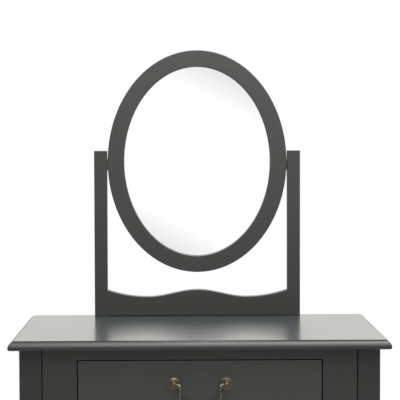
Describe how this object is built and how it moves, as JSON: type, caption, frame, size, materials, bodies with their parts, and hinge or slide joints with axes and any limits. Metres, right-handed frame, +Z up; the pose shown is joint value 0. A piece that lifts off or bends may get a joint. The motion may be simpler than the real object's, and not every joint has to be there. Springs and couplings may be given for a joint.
{
  "type": "dressing table with mirror",
  "caption": "Painted wooden dressing table on curved legs, with a moulded top, an inset drawer with a swing handle, and an oval mirror that tilts between two posts.",
  "frame": {"origin": "on the floor, under the middle of the table's width and of the depth of its top", "axes": "+Z up, +Y from the front of the table to its back, +X to the right of someone facing the front"},
  "size_m": [0.65, 0.3613, 1.28],
  "materials": {
    "grey_paint": "dark grey satin paint",
    "pine": "raw planed pine",
    "plywood": "raw birch plywood",
    "hardboard": "raw hardboard",
    "silvered_glass": "polished silvered glass",
    "antique_brass": "dark antiqued brass",
    "zinc_steel": "bright zinc plating",
    "nylon": "moulded nylon"
  },
  "bodies": {
    "table": {"table_top": "grey_paint", "leg_front_left": "grey_paint", "leg_front_right": "grey_paint", "leg_rear_left": "grey_paint", "leg_rear_right": "grey_paint", "front_apron": "grey_paint", "side_apron_left": "grey_paint", "side_apron_right": "grey_paint", "back_apron": "grey_paint", "mirror_rail": "grey_paint", "mirror_post_left": "grey_paint", "mirror_post_right": "grey_paint", "corner_block_front_left": "pine", "corner_block_front_right": "pine", "corner_block_rear_left": "pine", "corner_block_rear_right": "pine", "drawer_runner_left": "pine", "drawer_runner_right": "pine", "drawer_kicker_left": "pine", "drawer_kicker_right": "pine", "pivot_bush_left": "antique_brass", "pivot_bush_right": "antique_brass", "leg_bolt_front_left": "zinc_steel", "leg_bolt_front_right": "zinc_steel", "leg_bolt_rear_left": "zinc_steel", "leg_bolt_rear_right": "zinc_steel", "post_screw_left": "zinc_steel", "post_screw_right": "zinc_steel", "floor_glide_front_left": "nylon", "floor_glide_front_right": "nylon", "floor_glide_rear_left": "nylon", "floor_glide_rear_right": "nylon"},
    "drawer": {"drawer_front": "grey_paint", "drawer_side_left": "pine", "drawer_side_right": "pine", "drawer_back": "pine", "drawer_bottom": "plywood", "handle_rosette_left": "antique_brass", "handle_rosette_right": "antique_brass", "handle_post_left": "antique_brass", "handle_post_right": "antique_brass", "handle_screw_left": "zinc_steel", "handle_screw_right": "zinc_steel"},
    "bail": {"handle_bail": "antique_brass"},
    "mirror": {"mirror_frame": "grey_paint", "mirror_glass": "silvered_glass", "mirror_backing": "hardboard", "backing_screw_1": "zinc_steel", "backing_screw_2": "zinc_steel", "backing_screw_3": "zinc_steel", "backing_screw_4": "zinc_steel", "backing_screw_5": "zinc_steel", "backing_screw_6": "zinc_steel", "pivot_plate_left": "antique_brass", "pivot_plate_right": "antique_brass", "pivot_screw_left_upper": "antique_brass", "pivot_screw_left_lower": "antique_brass", "pivot_screw_right_upper": "antique_brass", "pivot_screw_right_lower": "antique_brass"}
  },
  "joints": [
    {"name": "drawer_slide", "type": "slide", "parent": "table", "child": "drawer", "axis": [0, -1, 0], "range_m": [0, 0.2]},
    {"name": "bail_swing", "type": "hinge", "parent": "drawer", "child": "bail", "pos_m": [0, -0.1765, 0.6952], "axis": [-1, 0, 0], "range_deg": [-15, 160]},
    {"name": "mirror_tilt", "type": "hinge", "parent": "table", "child": "mirror", "pos_m": [0, 0.171, 1.0616], "axis": [1, 0, 0], "continuous": true}
  ]
}
